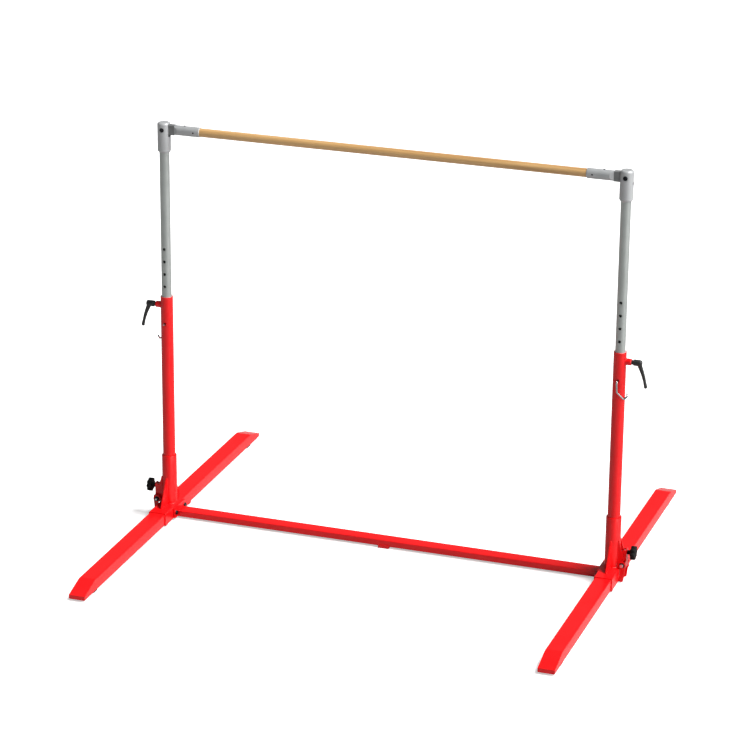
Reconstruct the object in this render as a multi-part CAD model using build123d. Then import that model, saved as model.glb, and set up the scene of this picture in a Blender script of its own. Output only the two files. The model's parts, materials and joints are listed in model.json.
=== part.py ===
"""Kip bar: a wooden gymnastics bar on two telescoping posts, each post standing on a long foot.

Frame: the origin is on the floor, midway between the posts. +X runs along the bar, +Y along the
feet and +Z up. Sizes are in millimetres. The two ends are alike: the left one is the right one
turned half a turn about Z. Right-hand pieces are drawn with the post axis at x = 0 and the
outboard side at +x, and then moved out to their post.
"""
import os
from math import cos, pi, radians, sin, sqrt

from build123d import *

os.makedirs("parts", exist_ok=True)

# ---- overall sizes ---------------------------------------------------------------------------
post_spacing = 1800.0      # between the two post axes
bar_height = 1575.0        # bar axis above the floor, at the highest setting
rim_height = 909.5         # top of the guide bush in the outer post tube
foot_length = 1776.0       # end to end, over the sloped noses

# ---- running and sliding clearances ----------------------------------------------------------
running_gap = 0.05         # a turning shaft in its hole
free_gap = 0.5             # beside a piece that moves past
slide_gap = 0.3            # between flat faces that slide or turn on each other

# ---- foot beam, noses and pads ---------------------------------------------------------------
beam_width = 64.0
beam_height = 46.0
beam_wall = 2.5
beam_corner = 3.5
nose_length = 100.0
nose_end_height = 16.0
pad_height = 8.0
pad_width = 56.0
pad_length = 38.0
pad_overhang = 13.0        # pad's outer end, past the sloped nose's start
pad_stem_radius = 6.0
pad_stem_length = 9.0
pad_stem_inset = 16.0      # from the beam's end back to the stem's axis

# ---- saddle over the foot beam ---------------------------------------------------------------
saddle_length = 260.0
saddle_plate = 3.0
saddle_side_gap = 0.5
strap_width = 20.0
strap_inset = 12.0         # from the saddle's end to the strap's centre

# ---- post socket, gussets and outer tube -----------------------------------------------------
socket_wall = 4.55
socket_height = 198.0      # above the saddle
upright_wall = 3.0
socket_bore_gap = 0.3
gusset_plate = 5.0
gusset_height = 108.0
gusset_reach = 61.0        # from the socket's surface outwards
gusset_land = 5.0
bush_length = 60.0
bush_recess = 0.5          # bush's top, below the tube's mouth
bush_wall = 2.07

# ---- inner tube and its row of pin holes -----------------------------------------------------
inner_radius = 19.0
inner_wall = 2.5
bush_gap = 0.08
hole_radius = 5.75
hole_pitch = 50.0
hole_count = 7
pin_drop = 107.0           # from the bush rim down to the locking pin
inner_tail = 150.0         # tube below its lowest hole

# ---- locking pin: one bent wire --------------------------------------------------------------
wire_radius = 3.25
pin_tip_reach = 11.0       # past the post's surface
pin_front_reach = 14.0
pin_side_gap = 0.7
pin_drop_run = 40.0
pin_loop_drop = 70.0
pin_end_drop = 50.0

# ---- clamping lever on the outer tube --------------------------------------------------------
boss_radius = 12.5
boss_length = 20.0
boss_drop = 36.5           # below the bush rim
clamp_screw_radius = 6.0
clamp_tip_gap = 0.4        # between the screw's tip and the inner tube
lever_hub_radius = 12.0
lever_hub_length = 33.0
lever_neck_radius = 8.5
lever_neck_length = 6.0
lever_arm_drop = 90.0
lever_arm_splay = 28.0
lever_root_radius = 9.0
lever_tip_radius = 6.5
lever_thickness = 13.0

# ---- hook clamp on the outboard side of each saddle ------------------------------------------
pivot_standoff = 8.5       # pivot axis outboard of the saddle's side
pivot_rise = 14.0          # pivot axis above the saddle's top
pivot_bolt_radius = 4.0
ear_plate = 4.0
ear_spacing = 29.0         # between the two ears' middle planes
ear_boss_radius = 8.5
arm_plate = 3.0
arm_width = 56.0           # over the two side plates
arm_boss_radius = 15.0
arm_back_offset = 13.0     # web's outer face, outboard of the pivot
arm_nose_radius = 8.0
arm_floor_gap = 3.5
arm_hip_radius = 9.5       # side plate's outboard corner below the pivot
shoulder_drop = 11.0       # wide part of the web, below the pivot
shoulder_rise = 13.0       # wide part of the web, above the pivot
cheek_spacing = 18.0       # clear width between the two narrow cheeks
cheek_inset = 4.0          # cheeks' inboard edge at the top, inboard of the pivot
cheek_depth = 8.0          # cheeks' width where they leave the shoulder
arm_top_rise = 57.0        # above the pivot
web_tab_rise = 4.0
toe_plate = 4.0
toe_reach = 6.0            # under the foot beam
washer_radius = 10.0
washer_plate = 2.0
bolt_head_flats = 13.0
bolt_head_height = 5.5
nut_height = 6.8
stud_radius = 5.0
stud_rise = 46.0           # above the pivot
stud_tip_gap = 0.05
weld_nut_flats = 16.0
weld_nut_height = 8.0
knob_gap = 1.0
knob_neck_radius = 8.0
knob_neck_length = 13.0
knob_radius = 28.0
knob_thickness = 20.0
knob_lobes = 8
knob_lobe_radius = 6.5
knob_cap = 5.0             # plastic left outside the stud's end

# ---- head on each inner tube -----------------------------------------------------------------
head_wall = 6.4            # outside the inner tube or the slot, whichever is wider
head_below_axis = 90.0
head_above_axis = 27.0
head_taper = 7.0
head_top_round = 9.0
head_bore_depth = 52.0
tube_fit_gap = 0.05
head_bolt_radius = 5.0
counterbore_radius = 9.3
counterbore_depth = 6.0
cap_screw_radius = 8.0
cap_screw_height = 5.5
head_nut_flats = 15.0
head_nut_height = 5.0
set_screw_radius = 4.0
set_screw_pocket_radius = 6.8
set_screw_pocket_depth = 4.0
set_screw_drop = 22.0      # below the bar axis

# ---- knuckle, end sleeve and bar -------------------------------------------------------------
bar_radius = 16.5
sleeve_wall = 2.5
sleeve_start = 46.0        # from the post axis to the sleeve's outboard end
sleeve_length = 102.0
sleeve_plug = 26.0         # solid outboard part of the sleeve
sleeve_chamfer = 2.0
bar_fit_gap = 0.1
tongue_thickness = 24.0
tongue_inset = 0.5         # tongue's edge, inside the sleeve's outline
flat_length = 14.6         # slanting flats on the sleeve's outboard end
spigot_radius = 11.0
spigot_length = 20.0
top_screw_offset = 39.0    # from the sleeve's outboard end
top_screw_radius = 2.5
top_screw_head_radius = 3.8
top_screw_head_height = 2.9
top_screw_seat = 0.6       # spot face for the button head
top_screw_depth = 14.0
cross_pin_offset = 79.0
cross_pin_radius = 3.2

# ---- crossbar between the two saddles --------------------------------------------------------
crossbar_depth = 54.0
crossbar_height = 25.0
crossbar_wall = 2.0
flange_plate = 8.0
flange_depth = 110.0
flange_height = 43.0
flange_corner = 6.0
flange_bolt_spacing = 84.0
flange_bolt_radius = 5.0
flange_bolt_flats = 16.0
flange_bolt_head = 6.5
flange_bolt_length = 30.0
mid_foot_length = 43.0
mid_foot_lip = 3.0
mid_foot_lip_height = 5.0

# ---- places worked out from the sizes above --------------------------------------------------
beam_bottom = pad_height
beam_top = beam_bottom + beam_height
saddle_top = beam_top + saddle_plate
saddle_half = beam_width / 2 + saddle_side_gap + saddle_plate
nose_start = foot_length / 2 - nose_length
pad_end = nose_start + pad_overhang
pad_centre = pad_end - pad_length / 2
pad_stem_y = nose_start - pad_stem_inset
socket_top = saddle_top + socket_height
bush_top = rim_height - bush_recess
upright_bore = inner_radius + bush_gap + bush_wall
upright_radius = upright_bore + upright_wall
socket_radius = upright_radius + socket_bore_gap + socket_wall
sleeve_radius = bar_radius + bar_fit_gap + sleeve_wall
tongue_half_height = sleeve_radius - tongue_inset
slot_half = tongue_thickness / 2 + slide_gap
slot_end = tongue_half_height + free_gap
head_radius = max(inner_radius, slot_end) + head_wall
pin_height = rim_height - pin_drop
boss_height = rim_height - boss_drop
boss_end = upright_radius + boss_length
inner_bottom = pin_height - inner_tail
head_bottom = bar_height - head_below_axis
head_top = bar_height + head_above_axis
inner_top = head_bottom + head_bore_depth - free_gap
pivot_x = saddle_half + pivot_standoff
pivot_z = saddle_top + pivot_rise
arm_back = pivot_x + arm_back_offset
arm_top = pivot_z + arm_top_rise
arm_inner_face = arm_width / 2 - arm_plate
nose_x = saddle_half + free_gap + arm_nose_radius
stud_z = pivot_z + stud_rise
knob_start = arm_back + knob_gap
knob_face = knob_start + knob_neck_length
knob_end = knob_face + knob_thickness
washer_face = arm_width / 2 + slide_gap / 3 + washer_plate
sleeve_end = sleeve_start + sleeve_length
bar_end = sleeve_start + sleeve_plug + 1.0
crossbar_half = post_spacing / 2 - saddle_half - flange_plate
flange_z = beam_bottom + 1.0 + flange_height / 2


# ---- shape helpers ---------------------------------------------------------------------------
def box(x0, x1, y0, y1, z0, z1):
    """A box between three pairs of planes."""
    return Pos((x0 + x1) / 2, (y0 + y1) / 2, (z0 + z1) / 2) * Box(x1 - x0, y1 - y0, z1 - z0)


def rod_x(radius, x0, x1, y, z):
    """A round rod along X."""
    return Pos((x0 + x1) / 2, y, z) * Rot(0, 90, 0) * Cylinder(radius, x1 - x0)


def rod_y(radius, y0, y1, x, z):
    """A round rod along Y."""
    return Pos(x, (y0 + y1) / 2, z) * Rot(90, 0, 0) * Cylinder(radius, y1 - y0)


def rod_z(radius, z0, z1, x=0.0, y=0.0):
    """A round rod along Z."""
    return Pos(x, y, (z0 + z1) / 2) * Cylinder(radius, z1 - z0)


def hex_y(flats, y0, y1, x, z):
    """A hexagonal prism along Y, by its width across flats."""
    profile = RegularPolygon(flats / 2, 6, major_radius=False)
    prism = extrude(profile, (y1 - y0) / 2, both=True)
    return Pos(x, (y0 + y1) / 2, z) * Rot(90, 0, 0) * prism


def hex_x(flats, x0, x1, y, z):
    """A hexagonal prism along X, by its width across flats."""
    profile = RegularPolygon(flats / 2, 6, major_radius=False)
    prism = extrude(profile, (x1 - x0) / 2, both=True)
    return Pos((x0 + x1) / 2, y, z) * Rot(0, 90, 0) * prism


def slab_xz(face, y0, y1):
    """A flat face drawn with x across and z up, made into a slab from y0 to y1."""
    return Pos(0, (y0 + y1) / 2, 0) * extrude(Plane.XZ * face, (y1 - y0) / 2, both=True)


def slab_yz(face, x0, x1):
    """A flat face drawn with y across and z up, made into a slab from x0 to x1."""
    return Pos((x0 + x1) / 2, 0, 0) * extrude(Plane.YZ * face, (x1 - x0) / 2, both=True)


def polygon(*points):
    """A closed polygon face whose corners stay where they are given."""
    return make_face(Polyline(*points, close=True))


def capsule(x0, z0, r0, x1, z1, r1):
    """The face that wraps round two circles, like a belt round two pulleys."""
    gap_x, gap_z = x1 - x0, z1 - z0
    span = sqrt(gap_x ** 2 + gap_z ** 2)
    lean = (r0 - r1) / span
    side = sqrt(1 - lean ** 2)
    ux, uz = gap_x / span, gap_z / span
    corners = []
    for sign in (1, -1):
        nx = lean * ux - sign * side * uz
        nz = lean * uz + sign * side * ux
        corners.append(((x0 + r0 * nx, z0 + r0 * nz), (x1 + r1 * nx, z1 + r1 * nz)))
    (a0, a1), (b0, b1) = corners
    return polygon(a0, a1, b1, b0) + Pos(x0, z0) * Circle(r0) + Pos(x1, z1) * Circle(r1)


def rounded_bar_y(width, height, corner, y0, y1, z_middle):
    """A bar along Y with rounded corners."""
    profile = Plane.XZ * RectangleRounded(width, height, corner)
    return Pos(0, (y0 + y1) / 2, z_middle) * extrude(profile, (y1 - y0) / 2, both=True)


def turned(piece):
    """The left-hand twin of a right-hand piece that is already on its post."""
    return Rot(0, 0, 180) * piece


# ---- foot ------------------------------------------------------------------------------------
def foot_beam():
    """Rectangular tube along Y, with threaded holes for the flange bolts and holes for the pads."""
    middle = beam_bottom + beam_height / 2
    beam = rounded_bar_y(beam_width, beam_height, beam_corner, -nose_start, nose_start, middle)
    beam -= rounded_bar_y(beam_width - 2 * beam_wall, beam_height - 2 * beam_wall,
                          beam_corner - beam_wall, -nose_start, nose_start, middle)
    for side in (1, -1):
        beam -= rod_z(pad_stem_radius, beam_bottom - 1, beam_bottom + beam_wall + 1,
                      0, side * pad_stem_y)
        beam -= rod_x(flange_bolt_radius, -beam_width / 2 - 1, -beam_width / 2 + beam_wall + 1,
                      side * flange_bolt_spacing / 2, flange_z)
    return beam


def foot_nose():
    """Hollow sloped cap on the +Y end of a foot beam, open where it meets the beam."""
    end = foot_length / 2
    low_end = beam_bottom + nose_end_height
    outline = polygon((nose_start, beam_bottom), (nose_start, beam_top), (end, low_end),
                      (end, beam_bottom))
    inside = polygon((nose_start - 1, beam_bottom + beam_wall),
                     (nose_start - 1, beam_top - beam_wall),
                     (nose_start, beam_top - beam_wall),
                     (end - beam_wall, low_end - beam_wall),
                     (end - beam_wall, beam_bottom + beam_wall))
    nose = slab_yz(outline, -beam_width / 2, beam_width / 2)
    nose &= rounded_bar_y(beam_width, beam_height, beam_corner, nose_start, end,
                          beam_bottom + beam_height / 2)
    return nose - slab_yz(inside, beam_wall - beam_width / 2, beam_width / 2 - beam_wall)


def foot_pad():
    """Rubber pad under the +Y end of a foot, with a stem pushed into the beam."""
    pad = box(-pad_width / 2, pad_width / 2, pad_centre - pad_length / 2,
              pad_centre + pad_length / 2, 0, pad_height)
    pad = fillet(pad.edges().filter_by(Axis.Z), 5.0)
    pad = chamfer(pad.faces().sort_by(Axis.Z)[0].edges(), 1.0)
    return pad + rod_z(pad_stem_radius, pad_height, pad_height + pad_stem_length, 0, pad_stem_y)


# ---- saddle, socket and gussets --------------------------------------------------------------
def saddle():
    """Folded plate over the top and sides of the foot beam."""
    depth = saddle_top - beam_bottom
    outer = box(-saddle_half, saddle_half, -saddle_length / 2, saddle_length / 2,
                beam_bottom, saddle_top)
    top_edges = outer.edges().filter_by(Axis.Y).group_by(Axis.Z)[-1]
    outer = fillet(top_edges, saddle_plate + 1.0)
    inner_half = saddle_half - saddle_plate
    outer -= box(-inner_half, inner_half, -saddle_length, saddle_length,
                 beam_bottom - depth, beam_top)
    for side in (1, -1):
        outer -= rod_x(flange_bolt_radius + 0.25, -saddle_half - 1, -inner_half + 1,
                       side * flange_bolt_spacing / 2, flange_z)
    return outer


def saddle_strap():
    """Flat strap welded across the saddle's skirts under the +Y end, holding the beam in."""
    centre = saddle_length / 2 - strap_inset
    return box(-saddle_half, saddle_half, centre - strap_width / 2, centre + strap_width / 2,
               beam_bottom - saddle_plate, beam_bottom)


def socket():
    """Short wide tube on the saddle, which the outer post tube stands in."""
    ring = rod_z(socket_radius, saddle_top, socket_top)
    ring = chamfer(ring.faces().sort_by(Axis.Z)[-1].edges(), 1.0)
    return ring - rod_z(upright_radius + socket_bore_gap, saddle_top - 1, socket_top + 1)


def gusset():
    """Triangular rib in the post's middle plane, on its +Y side."""
    start = socket_radius - 2
    foot = socket_radius + gusset_reach
    tip = socket_radius + gusset_land
    rib = polygon((start, saddle_top), (foot, saddle_top), (foot, saddle_top + gusset_land),
                  (tip, saddle_top + gusset_height), (start, saddle_top + gusset_height))
    rib = slab_yz(rib, -gusset_plate / 2, gusset_plate / 2)
    return rib - rod_z(socket_radius, saddle_top - 1, socket_top)


# ---- hook clamp ------------------------------------------------------------------------------
def clamp_ear():
    """Plate welded to the socket and the saddle, carrying the clamp's pivot on the +Y side."""
    middle = ear_spacing / 2
    start = sqrt(socket_radius ** 2 - (middle + ear_plate / 2) ** 2) - 1
    low = polygon((start, saddle_top), (saddle_half - saddle_plate - 1, saddle_top),
                  (pivot_x, pivot_z), (start, pivot_z))
    slope = polygon((start, pivot_z), (pivot_x + ear_boss_radius * 0.9, pivot_z),
                    (pivot_x + ear_boss_radius * 0.9, pivot_z + ear_boss_radius * 0.4),
                    (socket_radius - 1, saddle_top + gusset_height),
                    (start, saddle_top + gusset_height))
    face = low + slope + Pos(pivot_x, pivot_z) * Circle(ear_boss_radius)
    ear = slab_xz(face, middle - ear_plate / 2, middle + ear_plate / 2)
    ear -= rod_z(socket_radius, saddle_top - 1, socket_top)
    return ear - rod_y(pivot_bolt_radius + running_gap, 0, arm_width, pivot_x, pivot_z)


def clamp_arm():
    """Folded arm: a fork hooked under the foot beam, and a narrow channel that rises from it."""
    nose_z = arm_floor_gap + arm_nose_radius
    low, high = pivot_z - shoulder_drop, pivot_z + shoulder_rise
    leg = capsule(nose_x, nose_z, arm_nose_radius, arm_back - arm_hip_radius, low, arm_hip_radius)
    shoulder = polygon((pivot_x, low), (arm_back, low), (arm_back, high), (pivot_x, high))
    plate = leg + shoulder + Pos(pivot_x, pivot_z) * Circle(arm_boss_radius)
    inboard = pivot_x - cheek_inset
    channel = polygon((arm_back, high), (arm_back, arm_top), (inboard + 4, arm_top),
                      (inboard, arm_top - 4), (inboard, arm_top - 18),
                      (arm_back - cheek_depth, high))
    cheek_face = cheek_spacing / 2
    arm = slab_xz(plate, arm_inner_face, arm_width / 2)
    arm += slab_xz(plate, -arm_width / 2, -arm_inner_face)
    arm += slab_xz(channel, cheek_face, cheek_face + arm_plate)
    arm += slab_xz(channel, -cheek_face - arm_plate, -cheek_face)
    half, neck = arm_width / 2, cheek_face + arm_plate
    tab = arm_top + web_tab_rise
    web = polygon((-half, low), (half, low), (half, high), (neck, high), (neck, arm_top),
                  (neck - 4, tab), (4 - neck, tab), (-neck, arm_top), (-neck, high), (-half, high))
    arm += slab_yz(web, arm_back - arm_plate, arm_back)
    toe_top = beam_bottom - 0.1
    arm += box(beam_width / 2 - toe_reach, nose_x, -arm_inner_face, arm_inner_face,
               toe_top - toe_plate, toe_top)
    arm -= rod_y(pivot_bolt_radius + running_gap, -arm_width, arm_width, pivot_x, pivot_z)
    return arm - rod_x(stud_radius + 0.5, arm_back - arm_plate - 1, arm_back + 1, 0, stud_z)


def weld_nut():
    """Nut welded behind the arm's web, which the knob's stud screws through."""
    end = arm_back - arm_plate
    nut = hex_x(weld_nut_flats, end - weld_nut_height, end, 0, stud_z)
    return nut - rod_x(stud_radius + running_gap, end - weld_nut_height - 1, end + 1, 0, stud_z)


def clamp_stud():
    """Threaded stud whose round tip presses on the socket."""
    tip = socket_radius + stud_tip_gap
    end = knob_end - knob_cap
    stud = rod_x(stud_radius, tip + stud_radius, end, 0, stud_z)
    return stud + Pos(tip + stud_radius, 0, stud_z) * Sphere(stud_radius)


def clamp_knob():
    """Lobed hand knob on the stud's outboard end."""
    reach = knob_radius - knob_lobe_radius
    grip = Circle(reach + 1.5)
    for index in range(knob_lobes):
        angle = 2 * pi * index / knob_lobes
        grip += Pos(reach * cos(angle), reach * sin(angle)) * Circle(knob_lobe_radius)
    knob = slab_yz(Pos(0, stud_z) * grip, knob_face, knob_end)
    outer_rims = knob.faces().sort_by(Axis.X)[-1].edges() + knob.faces().sort_by(Axis.X)[0].edges()
    knob = fillet(outer_rims, 2.5)
    knob += rod_x(knob_neck_radius, knob_start, knob_face + 1, 0, stud_z)
    return knob - rod_x(stud_radius + running_gap, knob_start - 1, knob_end - knob_cap, 0, stud_z)


def pivot_bolt():
    """Bolt through both ears, both bushes and both arm plates, with its head on the -Y side."""
    shank_end = washer_face + nut_height + 1.5
    bolt = rod_y(pivot_bolt_radius, -washer_face, shank_end, pivot_x, pivot_z)
    head = hex_y(bolt_head_flats, -washer_face - bolt_head_height, -washer_face, pivot_x, pivot_z)
    return bolt + head


def pivot_nut():
    """Nut on the pivot bolt's +Y end."""
    nut = hex_y(bolt_head_flats, washer_face, washer_face + nut_height, pivot_x, pivot_z)
    return nut - rod_y(pivot_bolt_radius, washer_face - 1, washer_face + nut_height + 1,
                       pivot_x, pivot_z)


def pivot_washer():
    """Large washer outside the +Y side plate of the arm."""
    washer = rod_y(washer_radius, washer_face - washer_plate, washer_face, pivot_x, pivot_z)
    return washer - rod_y(pivot_bolt_radius + running_gap, washer_face - washer_plate - 1,
                          washer_face + 1, pivot_x, pivot_z)


def pivot_bush():
    """Spacer bush between the +Y ear and the +Y side plate of the arm."""
    start = (ear_spacing + ear_plate) / 2
    end = arm_inner_face - slide_gap / 3
    bush = rod_y(pivot_bolt_radius + 4, start, end, pivot_x, pivot_z)
    return bush - rod_y(pivot_bolt_radius + running_gap, start - 1, end + 1, pivot_x, pivot_z)


# ---- outer post tube, bush, boss and clamping lever ------------------------------------------
def upright():
    """Outer post tube, with the pin's cross hole and the clamp screw's side hole."""
    tube = rod_z(upright_radius, saddle_top, rim_height)
    tube -= rod_z(upright_bore, saddle_top - 1, rim_height + 1)
    tube -= rod_y(hole_radius, -upright_radius - 1, upright_radius + 1, 0, pin_height)
    return tube - rod_x(clamp_screw_radius + free_gap, 0, upright_radius + 1, 0, boss_height)


def guide_bush():
    """Plastic bush in the mouth of the outer tube, which the inner tube slides in."""
    bush = rod_z(upright_bore, bush_top - bush_length, bush_top)
    bush -= rod_z(inner_radius + bush_gap, bush_top - bush_length - 1, bush_top + 1)
    return bush - rod_x(clamp_screw_radius + free_gap, 0, upright_radius + 1, 0, boss_height)


def clamp_boss():
    """Threaded boss welded to the outer tube's outboard side."""
    boss = rod_x(boss_radius, upright_radius * 0.8, boss_end, 0, boss_height)
    boss = chamfer(boss.faces().sort_by(Axis.X)[-1].edges(), 1.5)
    boss -= rod_z(upright_radius, boss_height - 2 * boss_radius, boss_height + 2 * boss_radius)
    return boss - rod_x(clamp_screw_radius + running_gap, 0, boss_end + 1, 0, boss_height)


lever_start = boss_end + 1.5
lever_hub_start = lever_start + lever_neck_length
lever_end = lever_hub_start + lever_hub_length
lever_root = lever_end - lever_hub_radius


def clamp_lever():
    """Adjustable clamping lever: a hub on the screw and an arm that hangs down and outwards."""
    hub = rod_x(lever_hub_radius, lever_hub_start, lever_end, 0, boss_height)
    hub = fillet(hub.faces().sort_by(Axis.X)[-1].edges(), 4.0)
    hub = chamfer(hub.faces().sort_by(Axis.X)[0].edges(), 2.0)
    neck = rod_x(lever_neck_radius, lever_start, lever_hub_start + 1, 0, boss_height)
    tip_z = boss_height - lever_arm_drop
    arm = capsule(lever_root, boss_height - 2, lever_root_radius,
                  lever_root + lever_arm_splay, tip_z, lever_tip_radius)
    arm = slab_xz(arm, -lever_thickness / 2, lever_thickness / 2)
    arm = fillet(arm.faces().sort_by(Axis.Y)[0].edges() + arm.faces().sort_by(Axis.Y)[-1].edges(),
                 3.0)
    lever = hub + neck + arm
    return lever - rod_x(clamp_screw_radius, lever_start - 1, lever_end - 8, 0, boss_height)


def clamp_screw():
    """Clamp screw fixed in the lever's hub, through the boss to just short of the inner tube."""
    return rod_x(clamp_screw_radius, inner_radius + clamp_tip_gap, lever_end - 8, 0, boss_height)


def locking_pin():
    """One bent wire: a shank through both tubes from the -Y side, wrapped round outboard."""
    side = upright_radius + wire_radius + pin_side_gap
    front = -upright_radius - pin_front_reach
    path = FilletPolyline(
        (0, upright_radius + pin_tip_reach, 0),
        (0, front, 0),
        (2.5, front, -pin_drop_run),
        (side - 3, front + 15, -pin_loop_drop),
        (side + 3.5, 2, -pin_loop_drop + 2),
        (side, upright_radius - 2, -pin_end_drop),
        radius=[8.0, 10.0, 10.0, 12.0],
    )
    section = Plane(origin=path @ 0, z_dir=path % 0) * Circle(wire_radius)
    return Pos(0, 0, pin_height) * sweep(section, path)


# ---- inner tube and head ---------------------------------------------------------------------
def inner_tube():
    """Telescoping inner tube with its row of cross holes."""
    tube = rod_z(inner_radius, inner_bottom, inner_top)
    tube -= rod_z(inner_radius - inner_wall, inner_bottom - 1, inner_top + 1)
    for index in range(hole_count):
        tube -= rod_y(hole_radius, -inner_radius - 1, inner_radius + 1, 0,
                      pin_height + index * hole_pitch)
    return tube


def head():
    """Head casting on the inner tube, slotted inboard for the bar's knuckle."""
    body = rod_z(head_radius, head_bottom + head_taper, head_top)
    body = fillet(body.faces().sort_by(Axis.Z)[-1].edges(), head_top_round)
    taper = Pos(0, 0, head_bottom + head_taper / 2) * Cone(inner_radius + 1.5, head_radius,
                                                           head_taper)
    body += taper
    body -= rod_z(inner_radius + tube_fit_gap, head_bottom - 1, head_bottom + head_bore_depth)
    slot_bottom = bar_height - tongue_half_height - 8
    slot_top = bar_height + tongue_half_height + 1.5
    body -= box(-head_radius - 1, slot_end, -slot_half, slot_half, slot_bottom, slot_top)
    lean = polygon((-head_radius - 1, bar_height - 18), (-head_radius, bar_height - 18),
                   (-head_radius + 6, head_top + 1), (-head_radius - 1, head_top + 1))
    body -= slab_xz(lean, -head_radius - 1, head_radius + 1)
    body -= rod_y(head_bolt_radius + tube_fit_gap, -head_radius - 1, head_radius + 1, 0, bar_height)
    for side in (1, -1):
        face = side * head_radius
        body -= rod_y(counterbore_radius, min(face, face - side * counterbore_depth) - 0.001,
                      max(face, face - side * counterbore_depth) + 0.001, 0, bar_height)
    screw_z = bar_height - set_screw_drop
    body -= rod_x(set_screw_pocket_radius, head_radius - set_screw_pocket_depth, head_radius + 1,
                  0, screw_z)
    return body - rod_x(set_screw_radius, 0, head_radius + 1, 0, screw_z)


def head_bolt():
    """Socket-head pivot bolt through the head and the knuckle, with its head on the -Y side."""
    seat = -head_radius + counterbore_depth
    end = head_radius - counterbore_depth + head_nut_height
    bolt = rod_y(head_bolt_radius, seat, end, 0, bar_height)
    cap = rod_y(cap_screw_radius, seat - cap_screw_height, seat, 0, bar_height)
    cap = chamfer(cap.faces().sort_by(Axis.Y)[0].edges(), 0.8)
    return bolt + cap - hex_y(8.0, seat - cap_screw_height - 1, seat - 1.5, 0, bar_height)


def head_nut():
    """Nut sunk in the head's +Y counterbore."""
    start = head_radius - counterbore_depth
    nut = hex_y(head_nut_flats, start, start + head_nut_height, 0, bar_height)
    return nut - rod_y(head_bolt_radius, start - 1, start + head_nut_height + 1, 0, bar_height)


def head_screw():
    """Set screw in the head's outboard side, reaching to the slot."""
    screw_z = bar_height - set_screw_drop
    end = head_radius - set_screw_pocket_depth + 3
    screw = rod_x(set_screw_radius, slot_end, end, 0, screw_z)
    screw += rod_x(set_screw_radius + 2, head_radius - set_screw_pocket_depth, end, 0, screw_z)
    return screw - hex_x(4.0, end - 2.5, end + 1, 0, screw_z)


# ---- knuckle, sleeve and bar -----------------------------------------------------------------
def knuckle():
    """Flat tongue on the head's bolt, with a round spigot fixed in the sleeve."""
    tongue = box(-sleeve_start, 0, -tongue_thickness / 2, tongue_thickness / 2,
                 bar_height - tongue_half_height, bar_height + tongue_half_height)
    tongue += rod_y(tongue_half_height, -tongue_thickness / 2, tongue_thickness / 2, 0, bar_height)
    tongue += rod_x(spigot_radius, -sleeve_start - spigot_length, -sleeve_start, 0, bar_height)
    return tongue - rod_y(head_bolt_radius, -sleeve_radius - 1, sleeve_radius + 1, 0, bar_height)


def end_sleeve():
    """Metal sleeve over the bar's end, narrowed by two slanting flats to the knuckle's width."""
    sleeve = rod_x(sleeve_radius, -sleeve_end, -sleeve_start, 0, bar_height)
    sleeve = chamfer(sleeve.faces().sort_by(Axis.X)[0].edges(), sleeve_chamfer)
    sleeve -= rod_x(bar_radius + bar_fit_gap, -sleeve_end - 1, -sleeve_start - sleeve_plug,
                    0, bar_height)
    sleeve -= rod_x(spigot_radius + tube_fit_gap, -sleeve_start - spigot_length - tube_fit_gap,
                    -sleeve_start + 1, 0, bar_height)
    edge = tongue_thickness / 2
    slope = (sleeve_radius - edge) / flat_length
    for side in (1, -1):
        flat = polygon((-sleeve_start + 1, side * (edge - slope)),
                       (-sleeve_start - 2 * flat_length, side * (edge + 2 * slope * flat_length)),
                       (-sleeve_start + 1, side * (edge + 2 * slope * flat_length)))
        sleeve -= Pos(0, 0, bar_height) * extrude(flat, sleeve_radius + 1, both=True)
    top_x = -sleeve_start - top_screw_offset
    pin_x = -sleeve_start - cross_pin_offset
    sleeve -= rod_z(top_screw_radius, bar_height, bar_height + sleeve_radius + 1, top_x)
    sleeve -= rod_z(top_screw_head_radius, bar_height + sleeve_radius - top_screw_seat,
                    bar_height + sleeve_radius + 1, top_x)
    return sleeve - rod_y(cross_pin_radius, -sleeve_radius - 1, sleeve_radius + 1, pin_x, bar_height)


def top_screw():
    """Button-head screw down through the sleeve into the wood."""
    x = -sleeve_start - top_screw_offset
    seat = bar_height + sleeve_radius - top_screw_seat
    screw = rod_z(top_screw_radius, bar_height + sleeve_radius - top_screw_depth, seat + 1, x)
    button = rod_z(top_screw_head_radius, seat, seat + top_screw_head_height, x)
    return screw + fillet(button.faces().sort_by(Axis.Z)[-1].edges(), 1.2)


def cross_pin():
    """Cross pin through the sleeve and the wood, flush on both sides."""
    x = -sleeve_start - cross_pin_offset
    return rod_y(cross_pin_radius, -sleeve_radius, sleeve_radius, x, bar_height)


def wooden_bar():
    """Round wooden bar, ending inside both sleeves."""
    half = post_spacing / 2 - bar_end
    bar = rod_x(bar_radius, -half, half, 0, bar_height)
    for side in (1, -1):
        top_x = side * (post_spacing / 2 - sleeve_start - top_screw_offset)
        pin_x = side * (post_spacing / 2 - sleeve_start - cross_pin_offset)
        bar -= rod_z(top_screw_radius, bar_height + sleeve_radius - top_screw_depth,
                     bar_height + bar_radius + 1, top_x)
        bar -= rod_y(cross_pin_radius, -bar_radius - 1, bar_radius + 1, pin_x, bar_height)
    return bar


# ---- crossbar --------------------------------------------------------------------------------
def crossbar():
    """Flat rectangular tube between the two flanges."""
    middle = beam_bottom + crossbar_height / 2
    outer = Plane.YZ * RectangleRounded(crossbar_depth, crossbar_height, 2.5)
    inner = Plane.YZ * Rectangle(crossbar_depth - 2 * crossbar_wall,
                                 crossbar_height - 2 * crossbar_wall)
    tube = extrude(outer, crossbar_half, both=True) - extrude(inner, crossbar_half, both=True)
    return Pos(0, 0, middle) * tube


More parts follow.
